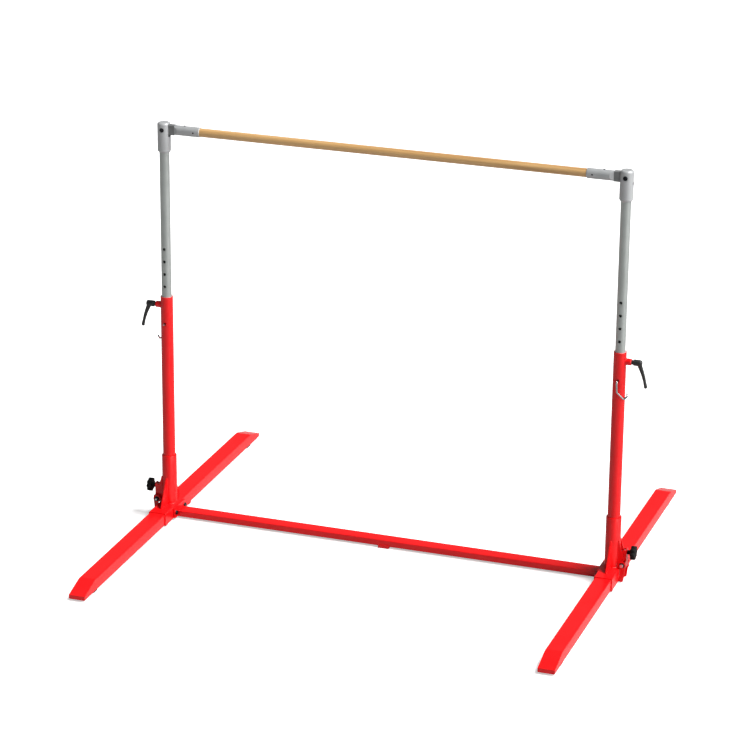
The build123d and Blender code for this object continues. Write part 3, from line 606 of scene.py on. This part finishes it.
def box_section(bm, axis, centre, half_u, half_v, radius, wall, start, end):
    """A rectangular tube with rounded corners, open at both ends."""
    u, v, w = frame_of(axis)
    centre = Vector(centre)
    outer = rounded_outline(half_u, half_v, radius)
    inner = rounded_outline(half_u - wall, half_v - wall, max(0.6, radius - wall))

    def ring(outline, at):
        return [bm.verts.new(centre + u * a + v * b + w * at) for a, b in outline]

    low_out, high_out = ring(outer, start), ring(outer, end)
    low_in, high_in = ring(inner, start), ring(inner, end)
    n = len(outer)
    for k in range(n):
        j = (k + 1) % n
        bm.faces.new((low_out[k], low_out[j], high_out[j], high_out[k]))
        bm.faces.new((low_in[j], low_in[k], high_in[k], high_in[j]))
        bm.faces.new((low_out[j], low_out[k], low_in[k], low_in[j]))
        bm.faces.new((high_out[k], high_out[j], high_in[j], high_in[k]))


def foot_beam(side):
    bm = bmesh.new()
    middle = (BEAM_BOTTOM + BEAM_TOP) / 2
    box_section(bm, (0, 1, 0), (0, 0, middle), (BEAM_TOP - BEAM_BOTTOM) / 2, BEAM_HALF,
                BEAM_CORNER, BEAM_WALL, -NOSE_START, NOSE_START)
    finish_piece(f"{side}_foot_beam_fine", bm, RED, "base", [f"{side}_foot_beam"],
                 post_matrix(side))


def crossbar():
    bm = bmesh.new()
    middle = (CROSS_LOW + CROSS_TOP) / 2
    box_section(bm, (1, 0, 0), (0, 0, middle), (CROSS_TOP - CROSS_LOW) / 2, CROSS_HALF_Y,
                CROSS_CORNER, CROSS_WALL, -CROSS_X, CROSS_X)
    finish_piece("crossbar_fine", bm, RED, "base", ["crossbar"])


# ---- fasteners -----------------------------------------------------------------------------------
def fastener_piece(node, bm, look):
    """Finishes a fastener's right-hand mesh together with its half-turned twin."""
    twin = bm.copy()
    bmesh.ops.transform(bm, matrix=post_matrix("right"), verts=bm.verts)
    bmesh.ops.transform(twin, matrix=post_matrix("left"), verts=twin.verts)
    join(bm, twin)
    finish_piece(f"{node}_fine", bm, look, BODY_OF[node], [node], IN_METRES)


def pivot_fasteners():
    """The clamp pivots: bolt, nut, two washers and two bushes each."""
    pivot = (PIVOT_X, 0, PIVOT_Z)
    along = (0, 1, 0)
    face = WASHER_FACE
    bm = bmesh.new()
    lathe(bm, pivot, along, [(-face, 0.0), (-face, PIVOT_BOLT_R), (face + 7.8, PIVOT_BOLT_R),
                             (face + 8.3, PIVOT_BOLT_R - 0.6), (face + 8.3, 0.0)], 48)
    hex_head(bm, pivot, along, PIVOT_FLATS, -face, -face - PIVOT_HEAD)
    fastener_piece("pivot_bolts", bm, ZINC)

    bm = bmesh.new()
    hex_head(bm, pivot, along, PIVOT_FLATS, face, face + PIVOT_NUT, bore=PIVOT_BOLT_R)
    fastener_piece("pivot_nuts", bm, DARK_STEEL)

    bm = bmesh.new()
    for y in (1, -1):
        ring_tube(bm, pivot, (0, y, 0), face - WASHER_PLATE, face, WASHER_R, WASHER_BORE, 0.35, 72)
    fastener_piece("pivot_washers", bm, DARK_STEEL)

    bm = bmesh.new()
    for y in (1, -1):
        ring_tube(bm, pivot, (0, y, 0), BUSH_START, BUSH_END, BUSH_R, WASHER_BORE, 0.4, 64)
    fastener_piece("pivot_bushes", bm, STEEL)


def flange_bolts():
    bm = bmesh.new()
    for y in (FLANGE_Y, -FLANGE_Y):
        at = (FLANGE_FACE, y, FLANGE_Z)
        lathe(bm, at, (1, 0, 0), [(0.0, 0.0), (0.0, FLANGE_BOLT_R),
                                  (FLANGE_BOLT_LONG - 0.8, FLANGE_BOLT_R),
                                  (FLANGE_BOLT_LONG, FLANGE_BOLT_R - 0.8),
                                  (FLANGE_BOLT_LONG, 0.0)], 48)
        hex_head(bm, at, (1, 0, 0), FLANGE_FLATS, 0.0, -FLANGE_HEAD, 1.2)
    fastener_piece("flange_bolts", bm, DARK_STEEL)


def sleeve_screws():
    """A button-head screw down through each end sleeve, and a pin across it."""
    seat = BAR_Z + SLEEVE_R - 0.6
    at = (-SCREW_X, 0, 0)
    bm = bmesh.new()
    lathe(bm, at, (0, 0, 1), [
        (seat, 0.0), (seat, 3.8), (seat + 1.2, 3.75), (seat + 2.1, 3.2), (seat + 2.7, 2.2),
        (seat + 2.9, 1.45), (seat + 1.4, 1.35), (seat + 1.3, 0.0)], 48)
    lathe(bm, at, (0, 0, 1), [(seat - 13.4, 0.0), (seat - 13.4, 2.5), (seat + 0.2, 2.5),
                              (seat + 0.2, 0.0)], 32)
    lathe(bm, (-CROSS_PIN_X, 0, BAR_Z), (0, 1, 0), [
        (-SLEEVE_R, 0.0), (-SLEEVE_R, CROSS_PIN_R - 0.5), (-SLEEVE_R + 0.4, CROSS_PIN_R),
        (SLEEVE_R - 0.4, CROSS_PIN_R), (SLEEVE_R, CROSS_PIN_R - 0.5), (SLEEVE_R, 0.0)], 40)
    fastener_piece("sleeve_screws", bm, DARK_STEEL)


# ---- clamp stud and knob -------------------------------------------------------------------------
def clamp_stud(side):
    """Threaded stud: a round tip, then a rolled thread up to the knob."""
    pitch, depth, core = 1.5, 0.82, STUD_R - 0.02
    around, rows_per_turn, tip_rows = 32, 10, 9
    start, end = STUD_TIP + STUD_R, KNOB_END - 5.0
    origin = Vector((0, 0, STUD_Z))
    angles = [2 * pi * k / around for k in range(around)]
    bm = bmesh.new()

    def ring(x, radii):
        return [bm.verts.new(origin + Vector((x, r * cos(a), r * sin(a))))
                for a, r in zip(angles, radii)]

    def thread_r(x, angle):
        fade = min(1.0, (x - start) / 2.0)
        wave = abs(2 * ((x / pitch - angle / (2 * pi)) % 1.0) - 1)
        groove = min(1.0, max(0.0, 1.25 * wave - 0.12))
        return core - depth * fade * groove - 0.33 * (1 - fade)

    rows = []
    for k in range(1, tip_rows):
        a = pi / 2 * k / tip_rows
        rows.append(ring(start - STUD_R * cos(a), [STUD_R * sin(a) * 0.93] * around))
    steps = int((end - start) / pitch * rows_per_turn)
    for k in range(steps + 1):
        x = start + (end - start) * k / steps
        rows.append(ring(x, [thread_r(x, a) for a in angles]))
    tip = bm.verts.new(origin + Vector((STUD_TIP, 0, 0)))
    for k in range(around):
        j = (k + 1) % around
        bm.faces.new((tip, rows[0][k], rows[0][j]))
        for one, two in zip(rows, rows[1:]):
            bm.faces.new((one[k], one[j], two[j], two[k]))
    bm.faces.new(rows[-1])
    finish_piece(f"{side}_clamp_stud_fine", bm, DARK_STEEL, f"{side}_stud",
                 [f"{side}_clamp_stud"], post_matrix(side), 60.0)


def clamp_knob(side):
    """Eight-lobed moulded knob with a crowned face, a capped centre and a tapered neck."""
    lobes, lobe_depth, around = 8, 28.0 - 23.4, 160
    face, end = KNOB_FACE, KNOB_END

    def lobed(angle, along, radius):
        weight = min(1.0, max(0.0, (radius - 12.0) / 8.0))
        wave = 0.5 + 0.5 * cos(lobes * angle)
        return radius - weight * lobe_depth * (1 - wave ** 0.7)

    bm = bmesh.new()
    lathe(bm, (0, 0, STUD_Z), (1, 0, 0), [
        (KNOB_START, KNOB_BORE), (KNOB_START, 7.5), (KNOB_START + 0.5, 8.0), (face - 3.5, 9.0),
        (face - 1.2, 10.2), (face - 0.1, 13.0), (face + 0.2, 19.0), (face + 0.8, 24.5),
        (face + 2.0, 27.0), (face + 4.0, 27.9), (face + 10.0, 28.0), (face + 16.0, 27.5),
        (face + 18.2, 26.0), (face + 19.5, 22.5), (end - 0.05, 17.0), (end - 0.05, 13.0),
        (end - 0.9, 12.4), (end - 0.9, 11.2), (end - 0.2, 10.6), (end, 6.0), (end, 0.0)],
          around, lobed)

    # the blind bore for the stud takes the place of the neck's end face
    rim = [v for v in bm.verts if abs(v.co.x - KNOB_START) < 1e-6
           and abs(hypot(v.co.y, v.co.z - STUD_Z) - KNOB_BORE) < 1e-3]
    neck_end = [f for f in bm.faces if len(f.verts) == around]
    bmesh.ops.delete(bm, geom=neck_end, context="FACES_ONLY")
    rim.sort(key=lambda v: atan2(v.co.z - STUD_Z, v.co.y))
    floor = [bm.verts.new((end - 5.0, v.co.y, v.co.z)) for v in rim]
    for k in range(around):
        j = (k + 1) % around
        bm.faces.new((rim[k], rim[j], floor[j], floor[k]))
    bm.faces.new(floor)
    finish_piece(f"{side}_clamp_knob_fine", bm, KNOB_BLACK, f"{side}_knob",
                 [f"{side}_clamp_knob"], post_matrix(side), 48.0)


# ---- clamping lever ------------------------------------------------------------------------------
LEVER_START = BOSS_END + 1.5
LEVER_HUB = LEVER_START + 6.0
LEVER_END = LEVER_HUB + 33.0
LEVER_ROOT = Vector((LEVER_END - 13.0, 0, BOSS_Z - 1.0))
LEVER_TIP = Vector((LEVER_END - 12.0 + 28.0, 0, BOSS_Z - 90.0))
NECK_R, NECK_BORE = 8.5, 6.1
ARM_AROUND = 32


def ring_band(bm, one, two):
    """The faces between two rings of as many points."""
    n = len(one)
    for j in range(n):
        i = (j + 1) % n
        bm.faces.new((one[j], one[i], two[i], two[j]))


def lever_arm(bm):
    """The arm: a bowed, waisted bar of oval section, with rounded ends."""
    along = (LEVER_TIP - LEVER_ROOT).normalized()
    across = Vector((-along.z, 0, along.x))
    angles = [2 * pi * j / ARM_AROUND for j in range(ARM_AROUND)]
    count = 26
    rings = []
    for k in range(count + 1):
        t = k / count
        centre = LEVER_ROOT.lerp(LEVER_TIP, t) + Vector((3.2 * sin(pi * t), 0, 0))
        wide = 9.4 + (5.6 - 9.4) * min(1.0, t * 1.25) + 1.2 * max(0.0, (t - 0.72) / 0.28) ** 1.5
        thick = 6.6 - 1.1 * sin(pi * min(1.0, t * 1.1)) + 0.4 * max(0.0, (t - 0.75) / 0.25)
        rings.append([bm.verts.new(centre + across * wide * cos(a)
                                   + Vector((0, 1, 0)) * thick * sin(a)) for a in angles])
    for one, two in zip(rings, rings[1:]):
        ring_band(bm, one, two)
    for end_ring, reach in ((rings[0], -6.0), (rings[-1], 6.4)):
        centre = sum((v.co for v in end_ring), Vector()) / ARM_AROUND
        previous = end_ring
        for step in (0.45, 0.75, 0.93):
            smaller = [bm.verts.new(centre + (v.co - centre) * sqrt(1 - step ** 2)
                                    + along * reach * step) for v in end_ring]
            ring_band(bm, previous, smaller)
            previous = smaller
        bm.faces.new(previous)
    bmesh.ops.recalc_face_normals(bm, faces=bm.faces)


def blended(bm, voxel, passes):
    """One smooth skin over all the closed shapes in a mesh."""
    data = bpy.data.meshes.new("rough")
    bm.to_mesh(data)
    bm.free()
    rough = bpy.data.objects.new("rough", data)
    bpy.context.collection.objects.link(rough)
    skin = rough.modifiers.new("skin", "REMESH")
    skin.mode = "VOXEL"
    skin.voxel_size = voxel
    ease = rough.modifiers.new("ease", "SMOOTH")
    ease.factor = 0.5
    ease.iterations = passes
    return evaluated(rough)


def clamp_lever(side):
    """Moulded lever: hub and arm blended into one skin, and a splined neck."""
    bm = bmesh.new()
    lathe(bm, (0, 0, BOSS_Z), (1, 0, 0), [
        (LEVER_HUB, 0.0), (LEVER_HUB, 10.6), (LEVER_HUB + 1.4, 12.0), (LEVER_HUB + 12, 12.0),
        (LEVER_END - 6, 11.6), (LEVER_END - 2.6, 10.2), (LEVER_END - 0.8, 7.6),
        (LEVER_END, 4.0), (LEVER_END, 0.0)], 64)
    lever_arm(bm)
    bm = blended(bm, 0.8, 7)

    around = 72

    def splined(angle, along, radius):
        groove = radius > 7 and int(angle / (2 * pi) * around) % 3 == 0
        return radius - (0.35 if groove else 0.0)

    neck = bmesh.new()
    lathe(neck, (0, 0, BOSS_Z), (1, 0, 0), [
        (LEVER_START, NECK_BORE), (LEVER_START, NECK_R - 0.5), (LEVER_START + 0.4, NECK_R),
        (LEVER_HUB - 0.3, NECK_R), (LEVER_HUB + 2.0, NECK_R), (LEVER_HUB + 2.0, NECK_BORE),
        (LEVER_START, NECK_BORE)], around, splined)
    join(bm, neck)
    finish_piece(f"{side}_clamp_lever_fine", bm, BLACK, f"{side}_lever",
                 [f"{side}_clamp_lever"], post_matrix(side), 50.0)


# ---- all the pieces ------------------------------------------------------------------------------
SOFTENED = (("foot_noses", 1.6), ("saddle", 0.7), ("gussets", 0.7), ("clamp_ears", 0.6),
            ("clamp_arm", 0.6), ("crossbar_flange", 0.8), ("head", 0.8), ("knuckle", 0.8),
            ("end_sleeve", 0.4), ("head_nut", 0.4), ("weld_nut", 0.4))

for side in ("left", "right"):
    inner_tube(side)
    upright(side)
    socket(side)
    foot_beam(side)
    clamp_stud(side)
    clamp_knob(side)
    clamp_lever(side)
    welds(side)
    for part, width in SOFTENED:
        soften(f"{side}_{part}", width)
soften("saddle_straps", 0.5)
soften("mid_foot", 0.7)
wooden_rail()
crossbar()
pivot_fasteners()
flange_bolts()
sleeve_screws()


# ---- floor, light and camera ---------------------------------------------------------------------
PALE = (0.85, 0.85, 0.85)
FLOOR_GLOW = 0.45      # the lit sweep under the object, for the camera only
FLOOR_BOUNCE = 0.35    # how much of the light the floor throws back up at the object
WORLD_FILL = 0.16
SOFTBOX = 3.4
SOFTBOX_TOWARD = (1.0, -0.25, 0.42)
SOFTBOX_INNER, SOFTBOX_OUTER = 30.0, 38.0     # degrees from its middle to full light and to none
BACKDROP = 1.0
KEY_FROM, KEY_STRENGTH, KEY_SPREAD = (0.5, 0.1, 1.0), 3.7, 20.0


def floor_plane():
    """A wide pale floor that looks evenly lit and throws little light back."""
    bm = bmesh.new()
    bmesh.ops.create_grid(bm, x_segments=1, y_segments=1, size=60.0)
    data = bpy.data.meshes.new("studio_floor")
    bm.to_mesh(data)
    bm.free()
    plane = bpy.data.objects.new("studio_floor", data)
    bpy.context.scene.collection.objects.link(plane)
    s = Surface("pale_floor", PALE, 0.0, 0.55, Emission_Strength=FLOOR_GLOW)
    s.rough(s.spread(s.noise(2.0), 0.50, 0.60))
    seen = s.tree.nodes.new("ShaderNodeLightPath").outputs["Is Camera Ray"]
    s.color(s.mix(seen, (FLOOR_BOUNCE,) * 3, PALE))
    s.link(s.mix(seen, (0.0, 0.0, 0.0), (1.0, 1.0, 1.0)), s.shader.inputs["Emission Color"])
    data.materials.append(s.material)


def sun_light(name, source, strength, spread):
    """A distant softbox: parallel light from a direction, with its apparent size in degrees."""
    data = bpy.data.lights.new(name, "SUN")
    data.energy = strength
    data.angle = radians(spread)
    lamp = bpy.data.objects.new(name, data)
    bpy.context.scene.collection.objects.link(lamp)
    lamp.rotation_mode = "QUATERNION"
    lamp.rotation_quaternion = (-Vector(source)).to_track_quat("-Z", "Y")


def world_light():
    """An even fill and a round softbox in one direction, seen by the camera as a white backdrop."""
    world = bpy.data.worlds.new("studio")
    bpy.context.scene.world = world
    world.use_nodes = True
    tree = world.node_tree

    def node(kind, **values):
        made = tree.nodes.new(kind)
        for socket, value in values.items():
            made.inputs[socket.replace("_", " ")].default_value = value
        return made

    place = tree.nodes.new("ShaderNodeTexCoord")
    facing = tree.nodes.new("ShaderNodeVectorMath")
    facing.operation = "DOT_PRODUCT"
    facing.inputs[1].default_value = Vector(SOFTBOX_TOWARD).normalized()
    tree.links.new(place.outputs["Generated"], facing.inputs[0])
    level = node("ShaderNodeMapRange", From_Min=cos(radians(SOFTBOX_OUTER)),
                 From_Max=cos(radians(SOFTBOX_INNER)), To_Min=WORLD_FILL, To_Max=SOFTBOX)
    tree.links.new(facing.outputs["Value"], level.inputs["Value"])
    seen = tree.nodes.new("ShaderNodeLightPath").outputs["Is Camera Ray"]
    pick = node("ShaderNodeMapRange", To_Max=BACKDROP)
    tree.links.new(seen, pick.inputs["Value"])
    tree.links.new(level.outputs["Result"], pick.inputs["To Min"])
    tree.links.new(pick.outputs["Result"], tree.nodes["Background"].inputs["Strength"])
    tree.nodes["Background"].inputs["Color"].default_value = (1.0, 1.0, 1.0, 1.0)


def camera():
    """The photograph's camera, solved from the object's own straight lines."""
    azimuth, elevation, roll = radians(18.973), radians(20.188), radians(0.52)
    distance = 11.429263
    target = Vector((-0.04372, -0.017732, 0.702038))
    right = Vector((cos(azimuth), sin(azimuth), 0.0))
    back = Vector((sin(azimuth) * cos(elevation), -cos(azimuth) * cos(elevation), sin(elevation)))
    up = back.cross(right)
    right, up = cos(roll) * right + sin(roll) * up, -sin(roll) * right + cos(roll) * up
    data = bpy.data.cameras.new("camera")
    data.sensor_width = 36.0
    data.lens = 145.159
    data.clip_start, data.clip_end = 0.1, 200.0
    cam = bpy.data.objects.new("camera", data)
    bpy.context.scene.collection.objects.link(cam)
    turn = Matrix((right, up, back)).transposed().to_4x4()
    cam.matrix_world = Matrix.Translation(target + back * distance) @ turn
    bpy.context.scene.camera = cam


floor_plane()
world_light()
sun_light("key_top", KEY_FROM, KEY_STRENGTH, KEY_SPREAD)
camera()
bpy.context.scene.view_settings.view_transform = "Standard"
